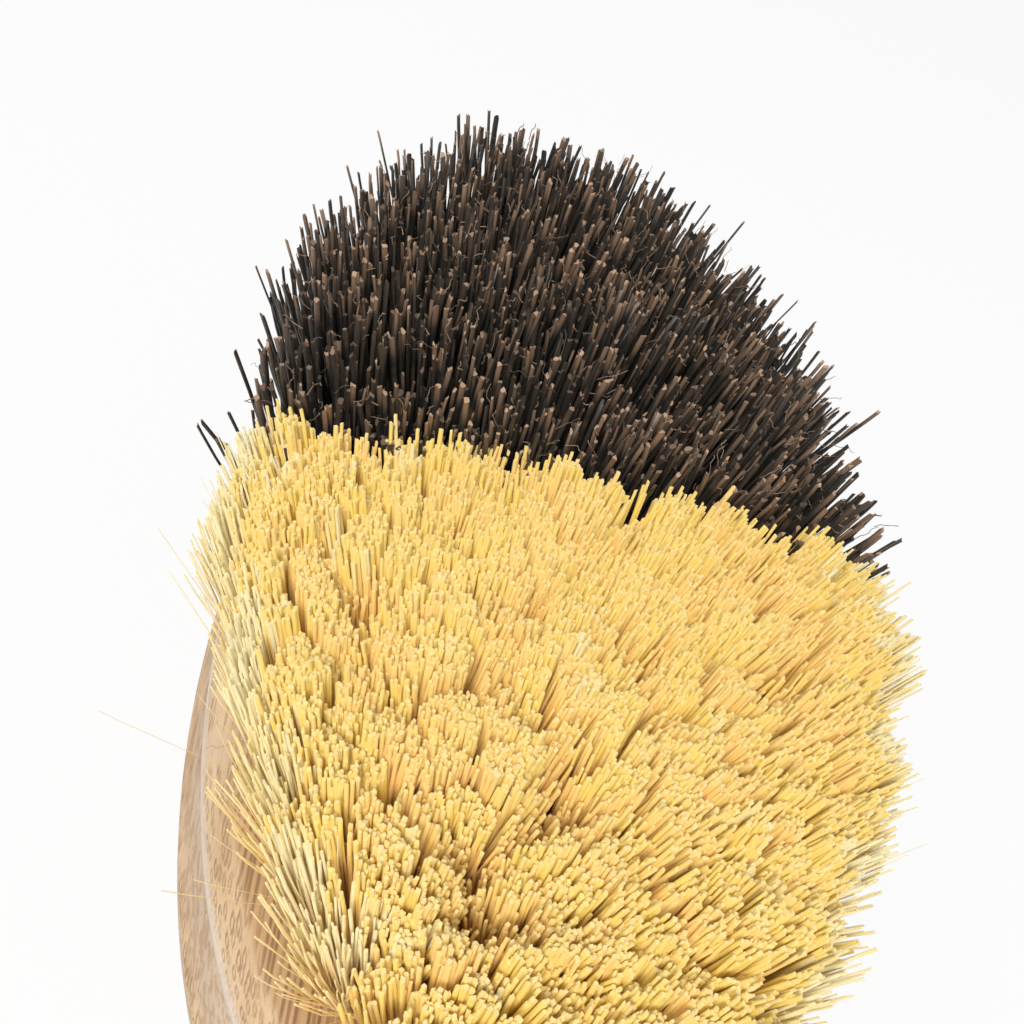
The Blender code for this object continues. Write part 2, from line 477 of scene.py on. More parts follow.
# Each draw has its own number, which is added to the seed; a push takes two of them
bristleDraws = {
    "spread": 1, "isStray": 3, "stray": 4, "isLoose": 5, "length": 6, "bend": 7, "heft": 9, "tone": 10,
    "isTall": 11, "tall": 12, "ragged": 13, "strayWay": 14, "strayDroop": 16, "edge": 17, "held": 18,
    "loose": 19,
}

# A range of two numbers eases from nought to one over them, one of four gives the results as well
bristleLook = {
    "unevenPower": 1.6, "roomRange": (-0.6, 1.0),
    "strayOutward": 0.2, "strayScatter": 0.5, "strayDroop": 0.4,
    "looseFreedom": 0.8, "leastHeld": 0.8, "leastLoose": 0.3,
    "rimPower": 4.0, "patchRange": (0.35, 0.65, 0.1, 1.3), "unevenRange": (0.3, 1.0),
    "heftSpan": 2.4, "heftLess": 0.9, "thinRange": (0.1, 1.0), "tipRange": (0.955, 1.0), "lastRing": 0.999,
    "lockShare": 0.65, "sunkenRange": (0.0012, 0.0040), "sunkenShadeTone": 0.95, "paleRange": (0.0, 0.6),
    "noiseScale": 900.0, "noiseTone": 50, "noiseTurn": 31, "tilt": 40,
}

# Where the fibres lie in their map: the tone runs across it and the height up it, with the cut ends on top
mapLook = {
    "margin": 0.01, "width": 0.98, "toneShare": 0.97, "ringShare": 0.03,
    "height": 0.9, "cutStart": 0.94, "cutHeight": 0.05,
}


def nearestCell(tree, place, size):
    inputs = {"Vector": place, "Scale": 1 / size}
    cell = tree.node("ShaderNodeTexVoronoi", {"voronoi_dimensions": "2D"}, inputs)
    pull = (Wire(tree, cell.outputs["Position"]) - place) * (1.0, 1.0, 0.0)
    return pull, Wire(tree, cell.outputs["Color"])


def placeFibres(tree, given):
    # A point for each fibre, which holds where it starts, turns and ends, its thickness and its tone
    look = bristleLook

    def drawn(name, low=0.0, high=1.0, step=0):
        return randomNumber(tree, given["Seed"] + (bristleDraws[name] + step), low, high)

    def pushed(name):
        return tree.vector(drawn(name, -1.0, 1.0), drawn(name, -1.0, 1.0, 1), 0.0)

    amount = given["Fibres in a tuft"]
    inputs = {"Geometry": given["Geometry"], "Amount": amount}
    doubled = tree.node("GeometryNodeDuplicateElements", {"domain": "POINT"}, inputs)
    points, order = Wire(tree, doubled.outputs[0]), Wire(tree, doubled.outputs[1])
    outward = ((order + 0.5) / amount) ** 0.5
    turn = order * goldenAngle
    foot = tree.vector(turn.maths("COSINE") * outward, turn.maths("SINE") * outward, 0.0)
    place = tree.wire("GeometryNodeInputPosition")
    axis = named(tree, "tuftAxis", "FLOAT_VECTOR")
    tipCentre = named(tree, "tipCentre", "FLOAT_VECTOR")
    edgeWay = named(tree, "edgeWay", "FLOAT_VECTOR")
    root = place + foot * given["Root radius"] - axis * given["Root sink"]

    # The even fan, drawn out sideways and outwards at the edge of the field
    reach = named(tree, "tipReach") * given["Spread"]
    spread = foot + pushed("spread") * given["Uneven spread"]
    outer = foot.maths("DOT_PRODUCT", edgeWay)
    sideways = (foot - edgeWay * outer) * (edgeWay.maths("LENGTH") * given["Edge spread"])
    outside = edgeWay * (outer.ease(*look["roomRange"]) * named(tree, "edgeRoom"))
    tip = tipCentre + (spread + sideways) * reach + outside

    # A few fibres at the edge stray
    isStray = (drawn("isStray") < given["Stray share"]) * (outer > look["strayOutward"])
    droop = tree.vector(0.0, 0.0, look["strayDroop"]) * drawn("strayDroop")
    strayWay = edgeWay + pushed("strayWay") * look["strayScatter"] - droop
    strayReach = named(tree, "strayRoom").maths("MINIMUM", given["Stray reach"])
    stray = strayWay * (isStray * drawn("stray") ** look["unevenPower"] * strayReach)

    # The others gather in locks, and within them in clumps
    lockPull, lockColour = nearestCell(tree, tip, given["Lock size"])
    clumpPull, clumpColour = nearestCell(tree, tip, given["Clump size"])
    lockLean = (lockColour - (0.5, 0.5, 0.5)) * (1.0, 1.0, 0.0)
    isLoose = drawn("isLoose") < given["Loose share"]
    held = (1 - isStray) * (1 - isLoose * look["looseFreedom"]) * drawn("held", look["leastHeld"])
    pulled = lockPull * (given["Lock pull"] * held) + clumpPull * (given["Clump pull"] * held)

    # Heights of the ends
    tall = (drawn("isTall") < given["Tall share"]) * drawn("tall") * given["Tall reach"]
    lift = (lockColour.part(2) - 0.5) * given["Lock lift"]
    lift = lift + (clumpColour.part(2) - 0.5) * given["Clump lift"]
    lift = lift + drawn("length", -1.0, 1.0) * given["Uneven length"]
    lift = lift - isLoose * drawn("loose", look["leastLoose"]) * given["Loose drop"]
    patchInputs = {"Vector": tip, "Scale": 1 / given["Patch size"], "Detail": 0.0}
    patch = tree.wire("ShaderNodeTexNoise", None, patchInputs)
    drop = outward ** look["rimPower"] * given["Edge drop"] * patch.ease(*look["patchRange"])
    sunken = drop.ease(*look["sunkenRange"])
    uneven = outer.ease(*look["unevenRange"]) * drawn("edge") ** look["unevenPower"]
    drop = drop + uneven * given["Edge uneven"]
    rise = tree.vector(0.0, 0.0, lift + tall - drop)
    end = tip + pulled + lockLean * given["Lock lean"] + stray + rise

    # Each fibre leaves its hole straight and then turns aside
    straight = axis * (end - root).maths("DOT_PRODUCT", axis)
    aside = end - root - straight
    bend = pushed("bend") * given["Bend"]
    stem = root + straight * given["Stem share"] + aside * given["Fan share"] + bend

    heft = drawn("heft") ** look["unevenPower"] * look["heftSpan"] - look["heftLess"]
    size = given["Thickness"] * (1 + heft * given["Uneven thickness"])
    size = size * (1 - isStray * given["Stray thinness"])
    size = size * (1 - outer.ease(*look["thinRange"]) * given["Edge thinness"])
    shared = clumpColour.part(0) * (1 - look["lockShare"]) + lockColour.part(0) * look["lockShare"]
    tone = shared + (drawn("tone") - shared) * given["Own tone"]
    # Painted shade: fibres that sink into pits at the edge of the field take a darker golden tone
    tone = tone + (look["sunkenShadeTone"] - tone) * sunken * given["Sunken shade"]
    tone = tone * (1 - outer.ease(*look["paleRange"]).maths("MAXIMUM", isStray) * given["Edge paleness"])
    depth = (tipCentre - end).part(2)
    tone = tone * (1 - depth.ease(0.0, given["Deep reach"]) * given["Deep shade"])
    for name, value in (("fibreRoot", root), ("fibreStem", stem), ("fibreEnd", end)):
        points = stored(tree, points, name, value, "FLOAT_VECTOR")
    return stored(tree, stored(tree, points, "fibreSize", size), "fibreTone", tone)


def drawFibres(tree, given, points):
    # The middle line of each fibre, a smooth bow with a little curl
    look = bristleLook
    line = tree.wire("GeometryNodeCurvePrimitiveLine", None, {"End": (0.0, 0.0, 1.0)})
    line = tree.wire("GeometryNodeResampleCurve", None, {"Curve": line, "Count": given["Steps"]})
    fibres = tree.wire("GeometryNodeInstanceOnPoints", None, {"Points": points, "Instance": line})
    fibres = tree.wire("GeometryNodeRealizeInstances", None, {0: fibres})
    left = 1 - tree.wire("GeometryNodeSplineParameter", output="Factor")
    fibres = stored(tree, fibres, "along", 1 - left * left)
    along, tone = named(tree, "along"), named(tree, "fibreTone")
    back = 1 - along
    root = named(tree, "fibreRoot", "FLOAT_VECTOR")
    stem = named(tree, "fibreStem", "FLOAT_VECTOR")
    end = named(tree, "fibreEnd", "FLOAT_VECTOR")
    course = root * (back * back) + stem * (along * back * 2) + end * (along * along)
    ownPlace = tree.vector(tone * look["noiseTone"], along * given["Curl scale"], tone * look["noiseTurn"])
    inputs = {"Vector": root * look["noiseScale"] + ownPlace, "Scale": 1.0, "Detail": 0.0}
    noise = tree.wire("ShaderNodeTexNoise", None, inputs, "Color")
    course = course + (noise - (0.5, 0.5, 0.5)) * (along * given["Curl"])
    course = course.maths("MAXIMUM", given["Low limit"]).maths("MINIMUM", given["High limit"])
    fibres = tree.wire("GeometryNodeSetPosition", None, {"Geometry": fibres, "Position": course})
    return tree.wire("GeometryNodeSetCurveTilt", None, {0: fibres, "Tilt": tone * look["tilt"]})


def skinFibres(tree, given, fibres):
    look = bristleLook
    inputs = {"Resolution": given["Sides"], "Radius": 1.0}
    profile = tree.wire("GeometryNodeCurvePrimitiveCircle", None, inputs)
    flat = tree.vector(1.0, given["Flatness"], 1.0)
    profile = tree.wire("GeometryNodeTransform", None, {"Geometry": profile, "Scale": flat})
    along = named(tree, "along")
    rootShare = given["Root thickness share"]
    tipShare = 1 - along.ease(*look["tipRange"]) * (1 - given["Tip share"])
    girth = named(tree, "fibreSize") * (rootShare + along * (1 - rootShare)) * tipShare / 2
    inputs = {"Curve": fibres, "Profile Curve": profile, "Scale": girth, "Fill Caps": True}
    skin = tree.wire("GeometryNodeCurveToMesh", None, inputs)
    isEnd = along > look["lastRing"]
    ragged = randomNumber(tree, given["Seed"] + bristleDraws["ragged"], -1.0, 1.0)
    ragged = ragged * given["Ragged end"] * isEnd
    upward = named(tree, "fibreEnd", "FLOAT_VECTOR") - named(tree, "fibreStem", "FLOAT_VECTOR")
    offset = upward.maths("NORMALIZE") * ragged
    skin = tree.wire("GeometryNodeSetPosition", None, {"Geometry": skin, "Offset": offset})
    skin = stored(tree, skin, "cutEnd", isEnd, "FLOAT", "FACE")
    ringStep = tree.wire("GeometryNodeInputIndex").maths("MODULO", given["Sides"]) / given["Sides"]
    skin = stored(tree, skin, "ringStep", ringStep)
    return stored(tree, skin, "OFBake", fibreMap(tree), "FLOAT2", "CORNER")


def fibreMap(tree):
    look = mapLook
    ring, cut = named(tree, "ringStep"), named(tree, "cutEnd")
    across = named(tree, "fibreTone") * look["toneShare"] + ring * look["ringShare"]
    cutHigh = look["cutStart"] + ring * ring * look["cutHeight"]
    high = named(tree, "along") * look["height"] * (1 - cut) + cutHigh * cut
    return tree.vector(look["margin"] + across * look["width"], high, 0.0)


def bristleGroup():
    group, tree, given = newGroup("bristles", bristleInputs)
    fibres = drawFibres(tree, given, placeFibres(tree, given))
    skin = skinFibres(tree, given, fibres)
    # The light that passes through the fibres evens out their shades, so their normals lean upwards
    softened = tree.wire("GeometryNodeInputNormal") + tree.vector(0.0, 0.0, given["Softness"])
    inputs = {"Mesh": skin, "Custom Normal": softened.maths("NORMALIZE")}
    skin = tree.wire("GeometryNodeSetMeshNormal", {"mode": "FREE", "domain": "CORNER"}, inputs)
    endGroup(tree, skin, given["Material"])
    return group


# Attributes that serve only while the fibres are made
passingFacts = ["fibreRoot", "fibreStem", "fibreEnd", "fibreSize", "ringStep"]
passingFacts += [name for name, fact in tuftFacts]


def makeBristles(name, tufts, group, values, startShare=0.0):
    made = tuftPoints(name, tufts, startShare)
    mesh = applyGroup(made, group, values)
    for layer in passingFacts:
        if layer in mesh.attributes:
            mesh.attributes.remove(mesh.attributes[layer])
    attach(made, "root")
    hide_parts(*[tuft["name"] for tuft in tufts])
    return len(mesh.polygons)


# What all the kinds of fibre share. An input that a kind leaves out is nought
fibreLook = {
    "Root sink": 0.0015, "Stem share": 0.45, "Fan share": 0.55, "Tip share": 0.95, "Patch size": 0.007,
    "Deep reach": 0.0040, "Low limit": strayLow, "High limit": strayHigh,
}


def fibreFacts(tree):
    return [tree.wire("ShaderNodeAttribute", {"attribute_name": name}, output="Fac")
            for name in ("fibreTone", "along", "cutEnd")]


def toneColour(tree, tone, look):
    stops = [(place, look[name]) for place, name in look["stops"]]
    return tree.wire("ShaderNodeValToRGB", {"stops": stops}, {0: tone})


# Sisal: fine pale yellow fibre
sisalLook = {
    **fibreLook,
    "Fibres in a tuft": 1150, "Root radius": 0.0023, "Spread": 1.16, "Uneven spread": 0.22,
    "Thickness": 0.00041, "Uneven thickness": 0.20, "Root thickness share": 0.5, "Flatness": 0.80,
    "Sides": 4, "Steps": 4, "Uneven length": 0.0003, "Tall share": 0.05, "Tall reach": 0.0010,
    "Edge drop": 0.0052, "Edge uneven": 0.0060, "Edge spread": 0.35, "Edge paleness": 0.86,
    "Edge thinness": 0.58, "Lock size": 0.0026, "Lock pull": 0.12, "Lock lean": 0.0012, "Lock lift": 0.0022,
    "Clump size": 0.0010, "Clump pull": 0.14, "Clump lift": 0.0007, "Loose share": 0.10,
    "Loose drop": 0.0020, "Bend": 0.0006, "Curl": 0.0005, "Curl scale": 2.5, "Stray share": 0.02,
    "Stray reach": 0.0060, "Stray thinness": 0.66, "Ragged end": 0.00010, "Softness": 1.3,
    "Own tone": 0.12, "Sunken shade": 0.7, "Seed": 5,
}
# The row beside the palm is looser
boundaryLook = {
    "Spread": 1.18, "Uneven spread": 0.28, "Edge drop": 0.0020, "Edge spread": 0.0, "Tall share": 0.12,
    "Tall reach": 0.0020,
}
sisalColours = {
    "straw": (0.89, 0.79, 0.48), "pale": (0.88, 0.63, 0.185), "yellow": (0.89, 0.64, 0.135),
    # root is painted shade deep among the fibres
    "peach": (0.89, 0.58, 0.195), "golden": (0.87, 0.54, 0.14), "root": (0.84, 0.47, 0.13),
    # tip is a painted highlight; cut is partly the cut ends' own paler colour and partly painted highlight
    "tip": (0.91, 0.67, 0.21), "cut": (0.93, 0.76, 0.38),
    "stops": ((0.06, "straw"), (0.19, "pale"), (0.40, "yellow"), (0.54, "pale"), (0.68, "peach"),
              (0.90, "golden")),
    "rootShadeRange": (0.97, 0.70), "rootShadeTones": (0.03, 0.25, 0.36, 1.0),
    "tipRange": (0.93, 1.0, 0.0, 0.5), "tipHighlightTones": (0.05, 0.25, 0.2, 1.0), "cutShare": 0.6,
    "roughness": 0.6,
    "more": {"Specular IOR Level": 0.25, "Sheen Weight": 0.5, "Sheen Tint": (1.0, 0.80, 0.35, 1.0)},
}


def sisalMaterial():
    look = sisalColours
    material, tree, shader = newMaterial("sisalFibre", look["roughness"], look["more"])
    tone, along, cut = fibreFacts(tree)
    colour = toneColour(tree, tone, look)
    # Painted shade: darker, more orange-brown colour deeper down each fibre, towards its root
    rootShare = along.ease(*look["rootShadeRange"]) * tone.ease(*look["rootShadeTones"])
    colour = tree.blend(rootShare, colour, rgba(look["root"]))
    # Painted highlight: paler towards the tips, and paler on the cut ends, partly their own colour
    tipShare = along.ease(*look["tipRange"]) * tone.ease(*look["tipHighlightTones"])
    colour = tree.blend(tipShare, colour, rgba(look["tip"]))
    colour = tree.blend(cut * look["cutShare"], colour, rgba(look["cut"]))
    tree.feed(shader.inputs["Base Color"], colour)
    return material


# Palm: coarse dark fibre with square-cut ends
palmLook = {
    **fibreLook,
    "Fibres in a tuft": 110, "Root radius": 0.0023, "Spread": 1.2, "Uneven spread": 0.24,
    "Thickness": 0.00049, "Uneven thickness": 0.36, "Root thickness share": 0.8, "Flatness": 0.72,
    "Sides": 6, "Steps": 6, "Uneven length": 0.0018, "Tall share": 0.08, "Tall reach": 0.0022,
    "Edge drop": 0.0012, "Edge uneven": 0.0050, "Edge spread": 0.45, "Lock size": 0.0034,
    "Lock pull": 0.18, "Lock lean": 0.0016, "Lock lift": 0.0024, "Clump size": 0.0015, "Clump pull": 0.25,
    "Clump lift": 0.0012, "Loose share": 0.50, "Loose drop": 0.0032, "Bend": 0.0014, "Curl": 0.0014,
    "Curl scale": 1.6, "Stray share": 0.40, "Stray reach": 0.0050, "Stray thinness": 0.2,
    "Ragged end": 0.00030, "Own tone": 0.45, "Deep shade": 0.65, "Seed": 9,
}
palmColours = {
    "black": (0.026, 0.0245, 0.0205), "brown": (0.063, 0.049, 0.038), "tan": (0.175, 0.112, 0.073),
    # top is painted light on the lit tops of the fibres
    "top": (0.30, 0.190, 0.120), "cut": (0.50, 0.33, 0.21), "cutDark": (0.12, 0.072, 0.047),
    "stops": ((0.15, "black"), (0.48, "black"), (0.66, "brown"), (0.84, "brown"), (0.94, "tan")),
    "mottleTones": 90, "mottleHeights": 9, "mottleRange": (0.52, 0.70, 0.0, 0.35), "chanceRate": 13.7,
    "unshadedTones": (0.10, 0.50, 0.15, 1.0), "litTopRange": (0.89, 0.99), "litTopChance": (0.30, 0.90, 0.05, 1.0),
    "cutChance": (0.15, 0.6), "cutShare": 0.9, "roughness": 0.42, "cutRoughness": 0.8,
}


def palmMaterial(name, look):
    material, tree, shader = newMaterial(name, look["roughness"])
    tone, along, cut = fibreFacts(tree)
    colour = toneColour(tree, tone, look)
    chance = (tone * look["chanceRate"]).maths("FRACT")  # a second draw for each fibre, from its tone alone
    mottlePlace = tree.vector(tone * look["mottleTones"], along * look["mottleHeights"], 0.0)
    mottle = tree.wire("ShaderNodeTexNoise", None, {"Vector": mottlePlace, "Scale": 1.0})
    colour = tree.blend(mottle.ease(*look["mottleRange"]), colour, rgba(look["tan"]))
    # Painted light: the lit tops turn brown over a near-black body, and fibres in painted deep shade keep
    # neither the brown top nor the tan cut end
    raised = tone.ease(*look["unshadedTones"])
    litTopShare = along.ease(*look["litTopRange"]) * chance.ease(*look["litTopChance"]) * raised
    colour = tree.blend(litTopShare, colour, rgba(look["top"]))
    cutColour = tree.blend(chance.ease(*look["cutChance"]), rgba(look["cutDark"]), rgba(look["cut"]))
    colour = tree.blend(cut * look["cutShare"] * raised, colour, cutColour)
    tree.feed(shader.inputs["Base Color"], colour)
    rougher = look["cutRoughness"] - look["roughness"]
    tree.feed(shader.inputs["Roughness"], cut * rougher + look["roughness"])
    return material


# Fine curled splinters among the ends of the palm fibre
wispLook = {
    **fibreLook,
    "Fibres in a tuft": 14, "Root radius": 0.0042, "Root sink": 0.0, "Spread": 1.1, "Uneven spread": 0.16,
    "Stem share": 0.5, "Fan share": 0.5, "Thickness": 0.00009, "Uneven thickness": 0.4,
    "Root thickness share": 1.3, "Flatness": 0.8, "Sides": 3, "Steps": 8, "Uneven length": 0.0012,
    "Edge drop": 0.0002, "Lock size": 0.0030, "Clump size": 0.0015, "Bend": 0.0006, "Curl": 0.0014,
    "Curl scale": 3.0, "Tip share": 0.8, "Own tone": 0.5, "Seed": 31,
}
# As on the palm, the top colour is painted light on the splinters' tops
wispColours = dict(palmColours, black=(0.24, 0.165, 0.11), brown=(0.34, 0.24, 0.16), top=(0.50, 0.37, 0.25))
wispStart = 0.955  # the share of the tufts' height at which they start


# Bamboo block: the side profile is swept round the oval, then the holes are drilled
blockLook = {
    "fullness": 2.1, "around": 256, "backEdgeWidth": 0.0065, "backEdgeHeight": 0.0095, "lipHeight": 0.0010,
    "grooveHeight": 0.0090, "grooveDepth": 0.0030, "rimInset": 0.0012, "rimHeight": 0.0009,
    "faceEdgeWidth": 0.0050, "faceEdgeHeight": 0.0036, "edgeSteps": 10, "grooveSteps": 20,
    "holeRadius": 0.0026, "holeDepth": 0.0040, "holeSides": 24, "sharpAngle": math.radians(50),
}


def blockProfile():
    look = blockLook
    points = []
    for step in range(look["edgeSteps"] + 1):
        turn = math.pi / 2 * step / look["edgeSteps"]
        inset = look["backEdgeWidth"] * (1 - math.sin(turn))
        points.append((inset, look["backEdgeHeight"] * (1 - math.cos(turn))))
    grooveFloor = look["backEdgeHeight"] + look["lipHeight"]
    for step in range(look["grooveSteps"] + 1):
        share = step / look["grooveSteps"]
        inset = look["rimInset"] * share + look["grooveDepth"] * math.sin(math.pi * share)
        points.append((inset, grooveFloor + look["grooveHeight"] * share))
    rimTop = grooveFloor + look["grooveHeight"] + look["rimHeight"]
    for step in range(look["edgeSteps"] + 1):
        turn = math.pi / 2 * step / look["edgeSteps"]
        inset = look["rimInset"] + look["faceEdgeWidth"] * (1 - math.cos(turn))
        points.append((inset, rimTop + look["faceEdgeHeight"] * math.sin(turn)))
    return points


def ovalReach(value):
    return math.copysign(abs(value) ** (2 / blockLook["fullness"]), value)


def circle(sides):
    angles = [2 * math.pi * side / sides for side in range(sides)]
    return [(math.cos(angle), math.sin(angle)) for angle in angles]


def addTube(builder, rings):
    rings = [[builder.verts.new(point) for point in ring] for ring in rings]
    for lower, upper in zip(rings, rings[1:]):
        for side in range(len(lower)):
            after = (side + 1) % len(lower)
            builder.faces.new((lower[side], lower[after], upper[after], upper[side]))
    builder.faces.new(list(reversed(rings[0])))
    builder.faces.new(rings[-1])


def makeDrills(tufts):
    look = blockLook
    builder = bmesh.new()
    for tuft in tufts:
        turn = Vector((0, 0, 1)).rotation_difference(tuft["axis"]).to_matrix()
        around = [turn @ Vector((x, y, 0)) * look["holeRadius"] for x, y in circle(look["holeSides"])]
        depth = tuft["axis"] * look["holeDepth"]
        ends = [tuft["root"] - depth, tuft["root"] + depth]
        addTube(builder, [[middle + point for point in around] for middle in ends])
    return addMeshObject("drills", builder)


def makeBlock(tufts, material):
    look = blockLook
    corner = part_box("bamboo_block")[1]
    oval = [(ovalReach(x), ovalReach(y)) for x, y in circle(look["around"])]
    rings = []
    for inset, height in blockProfile():
        across, along = corner.x - inset, corner.y - inset
        rings.append([(across * x, along * y, height) for x, y in oval])
    builder = bmesh.new()
    addTube(builder, rings)
    block = addMeshObject("bambooBody", builder)
    drills = makeDrills(tufts)
    cut = block.modifiers.new("holes", "BOOLEAN")
    cut.operation = "DIFFERENCE"
    cut.solver = "EXACT"
    cut.object = drills
    drilled = meshAsSeen(block)
    bpy.data.objects.remove(drills)
    drilled.materials.clear()
    drilled.materials.append(material)
    drilled.shade_smooth()
    drilled.set_sharp_from_angle(angle=look["sharpAngle"])
    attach(block, "root")
    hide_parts("bamboo_block")
    print("block made, faces:", len(drilled.polygons))


# Bamboo: strips glued side by side, each with dark bundles of fibre that run its whole length. Lengths are
# in millimetres; stretches say how fast each pattern changes along x, y and z
bambooLook = {
    "roughness": 0.42, "grainRoughness": 0.2, "bundleRoughness": 0.1,
    "stripWidth": 7.4, "stripShift": 0.9, "stripTone": 0.35, "stripToneMiddle": 0.17,
    "linePitch": 0.52, "lineSway": 0.8, "lineRandomness": 0.8, "leastLine": 0.45,
    "stripSection": (7.3, 3.7), "bundlePitch": 0.56, "bundleRandomness": 0.85, "bundleSway": 0.5,
    "leastBundle": 0.5, "ringSize": 0.140, "leastRing": 0.75, "unevenRing": 0.5, "roundOff": 0.01,
    "nodePlace": -20.7, "nodeWave": 3.2, "nodeStep": 30.0, "grooveMiddle": 15.0, "rimTop": 20.4,
    "bump": {"grain": 0.4, "bundle": 0.6, "strength": 0.3, "depth": 0.00012},
}
bambooColours = {
    "light": (0.70, 0.51, 0.31), "mid": (0.59, 0.40, 0.23), "dark": (0.33, 0.18, 0.085),
    "vessel": (0.25, 0.135, 0.06), "face": (0.55, 0.33, 0.155), "faceDark": (0.22, 0.105, 0.042),
    # groove is painted shade in the recess; rim is sanded wear with a painted highlight
    "rimWearAndHighlight": (0.74, 0.64, 0.53), "groove": (0.50, 0.42, 0.34), "lip": (0.52, 0.37, 0.26),
    "node": (0.64, 0.47, 0.31),
}
bambooStretches = {
    "broad": (0.30, 0.018, 0.30), "grain": (6.5, 0.16, 6.5), "lineSway": (0.05, 0.03, 0.05),
    "lineBreaks": (1.9, 0.06, 0.5), "bundleSway": (0.03, 0.06, 0.03), "nodeWave": (0.55, 0.0, 0.8),
    "specks": (4.0, 1.1, 4.0), "sideGrain": (2.5, 0.10, 3.4),
}
bambooRanges = {
    "glue": (0.488, 0.496), "broad": (0.35, 0.65), "grain": (0.48, 0.72), "face": (23.3, 23.7),
    "line": (0.40, 0.14), "lineBreaks": (0.30, 0.46, 0.25, 1.0), "crescent": (0.10, 0.60, 0.35, 1.0),
    "ring": (0.09, 0.036), "halo": (2.6, 1.04), "groove": (4.6, 3.2), "nodeLine": (0.14, 0.04),
    "rimWearAndHighlight": (1.5, 0.25), "lip": (10.8, 9.6), "specks": (0.64, 0.72), "sideGrain": (0.46, 0.60),
    "side": (20.5, 19.5),
}
bambooShares = {
    "grain": 0.42, "face": 0.85, "line": 0.9, "bundle": 0.72, "halo": 0.5, "nodeLine": 0.30, "glue": 0.30,
    "groove": 0.55, "sideGrain": 0.42, "specks": 0.5, "lip": 0.35, "rimWearAndHighlight": 0.70,
    "haloClear": 0.85, "grooveClear": 0.75, "faceClear": 0.8,
}


def noiseAt(tree, place, name, detail=2.0, output="Fac"):
    inputs = {"Vector": place * bambooStretches[name], "Scale": 1.0, "Detail": detail}
    return tree.wire("ShaderNodeTexNoise", None, inputs, output)


def ranged(wire, name):
    return wire.ease(*bambooRanges[name])


def painted(tree, colour, over, mask, share):
    return tree.blend(mask * bambooShares[share], colour, rgba(bambooColours[over]))


def faceLines(tree, place, across):
    # The face is cut along the strips, so it is all fine straight lines
    look = bambooLook
    sway = noiseAt(tree, place, "lineSway", 1.0) - 0.5
    width = (across + sway * look["lineSway"]) / look["linePitch"]
    inputs = {"W": width, "Scale": 1.0, "Randomness": look["lineRandomness"]}
    line = tree.node("ShaderNodeTexVoronoi", {"voronoi_dimensions": "1D"}, inputs)
    tone = Wire(tree, line.outputs["Color"]).part(1)
    strength = look["leastLine"] + tone * (1 - look["leastLine"])
    lines = ranged(Wire(tree, line.outputs["Distance"]), "line") * strength
    return lines * ranged(noiseAt(tree, place, "lineBreaks", 1.0), "lineBreaks")


def bundleLines(tree, place, section):
    # Crescents in the cross-section, so they show as streaks along the side and as loops at the curved ends
    look = bambooLook
    sway = (noiseAt(tree, place, "bundleSway", 1.0, "Color") - (0.5, 0.5, 0.5)) * look["bundleSway"]
    section = section + sway * (1.0, 1.0, 0.0)
    inputs = {"Vector": section, "Scale": 1 / look["bundlePitch"], "Randomness": look["bundleRandomness"]}
    bundle = tree.node("ShaderNodeTexVoronoi", {"voronoi_dimensions": "2D"}, inputs)
    tone = Wire(tree, bundle.outputs["Color"]).part(0)
    aside = (section - Wire(tree, bundle.outputs["Position"])) * (1.0, 1.0, 0.0)
    distance = aside.maths("LENGTH")
    crescent = ranged(aside.part(0).maths("ABSOLUTE") / (distance + look["roundOff"]), "crescent")
    size = look["ringSize"] * (look["leastRing"] + tone * look["unevenRing"])
    ring = ranged(distance.awayFrom(size), "ring")
    return ring * crescent * (look["leastBundle"] + tone * (1 - look["leastBundle"]))


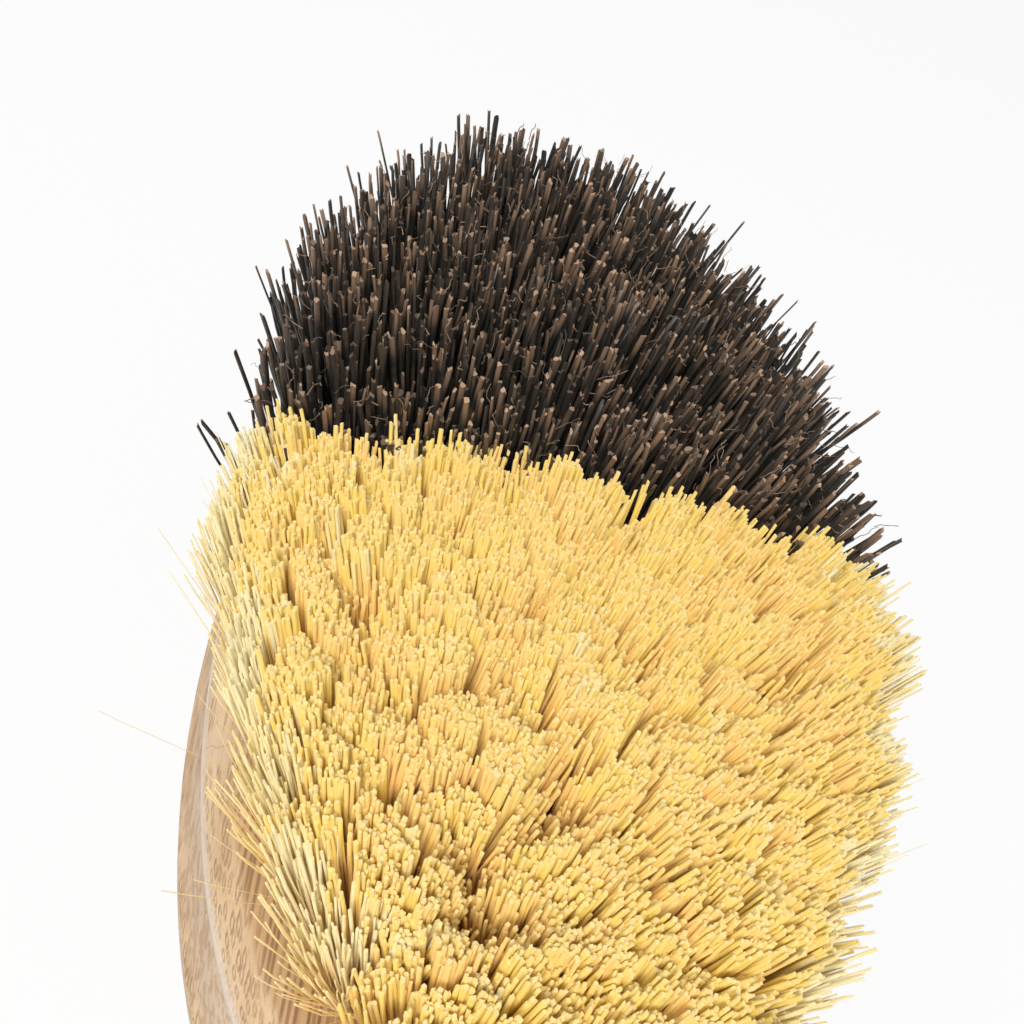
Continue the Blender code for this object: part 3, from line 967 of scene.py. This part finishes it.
def bambooMaterial():
    look, shares = bambooLook, bambooShares
    material, tree, shader = newMaterial("bamboo", look["roughness"])
    place = tree.wire("ShaderNodeTexCoord", output="Object") * 1000.0  # millimetres
    across, lengthwise, height = place.part(0), place.part(1), place.part(2)
    stripPlace = (across + look["stripShift"]) / look["stripWidth"]
    strip = stripPlace.maths("FLOOR")
    stripTone = tree.wire("ShaderNodeTexWhiteNoise", {"noise_dimensions": "1D"}, {"W": strip + 0.5}, "Value")
    broad = noiseAt(tree, place, "broad") + stripTone * look["stripTone"] - look["stripToneMiddle"]
    colour = tree.blend(ranged(broad, "broad"), rgba(bambooColours["light"]), rgba(bambooColours["mid"]))
    grain = noiseAt(tree, place, "grain", 3.0)
    colour = painted(tree, colour, "dark", ranged(grain, "grain"), "grain")
    # The flat face is darker: its own cut grain, and painted shade from the fibres above it
    face = ranged(height, "face")
    colour = painted(tree, colour, "face", face, "face")
    colour = painted(tree, colour, "faceDark", face * faceLines(tree, place, across), "line")

    # At a node of the cane the bundles are broken by a paler band with a thin dark line in it
    nodeWave = noiseAt(tree, place, "nodeWave") * look["nodeWave"] + (stripTone - 0.5) * look["nodeStep"]
    nodeGap = (lengthwise + nodeWave).awayFrom(look["nodePlace"])
    halo = ranged(nodeGap, "halo")
    groove = ranged(height.awayFrom(look["grooveMiddle"]), "groove")
    clear = (1 - halo * shares["haloClear"]) * (1 - groove * shares["grooveClear"])
    stripSection = look["stripSection"]
    section = tree.vector(across + strip * stripSection[0], height + strip * stripSection[1], 0.0)
    bundles = bundleLines(tree, place, section) * clear * (1 - face * shares["faceClear"])
    colour = painted(tree, colour, "vessel", bundles, "bundle")
    colour = painted(tree, colour, "node", halo, "halo")
    colour = painted(tree, colour, "vessel", ranged(nodeGap, "nodeLine"), "nodeLine")
    glue = ranged(stripPlace.maths("FRACT").awayFrom(0.5), "glue")
    colour = painted(tree, colour, "dark", glue, "glue")

    # Sanded rim with a painted highlight along it, painted shade in the greyer groove, and pinker lip
    sideGrain = ranged(noiseAt(tree, place, "sideGrain"), "sideGrain")
    specks = ranged(noiseAt(tree, place, "specks"), "specks")
    # Painted shade: the groove is greyer and darker, with dark specks of its own
    colour = painted(tree, colour, "groove", groove, "groove")
    colour = painted(tree, colour, "dark", ranged(height, "side") * sideGrain, "sideGrain")
    colour = painted(tree, colour, "vessel", groove * specks, "specks")
    colour = painted(tree, colour, "lip", ranged(height, "lip"), "lip")
    # Paler rim: partly sanded wear, partly a painted highlight along the edge
    colour = painted(tree, colour, "rimWearAndHighlight", ranged(height.awayFrom(look["rimTop"]), "rimWearAndHighlight"), "rimWearAndHighlight")
    tree.feed(shader.inputs["Base Color"], colour)
    roughness = grain * look["grainRoughness"] + look["roughness"] + bundles * look["bundleRoughness"]
    tree.feed(shader.inputs["Roughness"], roughness)
    bump = look["bump"]
    raised = 0.0 - grain * bump["grain"] - bundles * bump["bundle"]
    bumpInputs = {"Height": raised, "Strength": bump["strength"], "Distance": bump["depth"]}
    tree.feed(shader.inputs["Normal"], tree.wire("ShaderNodeBump", None, bumpInputs))
    return material


rowDigits = 3  # the rows are told apart to the millimetre
seedStep = 20  # each row's fibres are drawn anew


def makeRows(kind, tufts, group, look, material):
    own = [tuft for tuft in tufts if tuft["kind"] == kind]
    rows = sorted({round(tuft["root"].y, rowDigits) for tuft in own})
    faces = 0
    for number, row in enumerate(rows, 1):
        inRow = [tuft for tuft in own if round(tuft["root"].y, rowDigits) == row]
        values = dict(look, Seed=look["Seed"] + seedStep * number, Material=material)
        if kind == "sisal" and row == rows[-1]:
            values.update(boundaryLook)
        faces += makeBristles(f"{kind}Row{number:02d}", inRow, group, values)
    print(kind, "rows:", len(rows), "faces:", faces)


def main():
    bpy.context.scene.view_settings.view_transform = "Standard"
    makeCamera()
    makeStage()
    tufts = readTufts()
    makeBlock(tufts, bambooMaterial())
    group = bristleGroup()
    makeRows("sisal", tufts, group, sisalLook, sisalMaterial())
    makeRows("palm", tufts, group, palmLook, palmMaterial("palmFibre", palmColours))
    wisps = dict(wispLook, Material=palmMaterial("palmSplinter", wispColours))
    palmTufts = [tuft for tuft in tufts if tuft["kind"] == "palm"]
    faces = makeBristles("palmWisps", palmTufts, group, wisps, wispStart)
    print("wisps made, faces:", faces)


main()
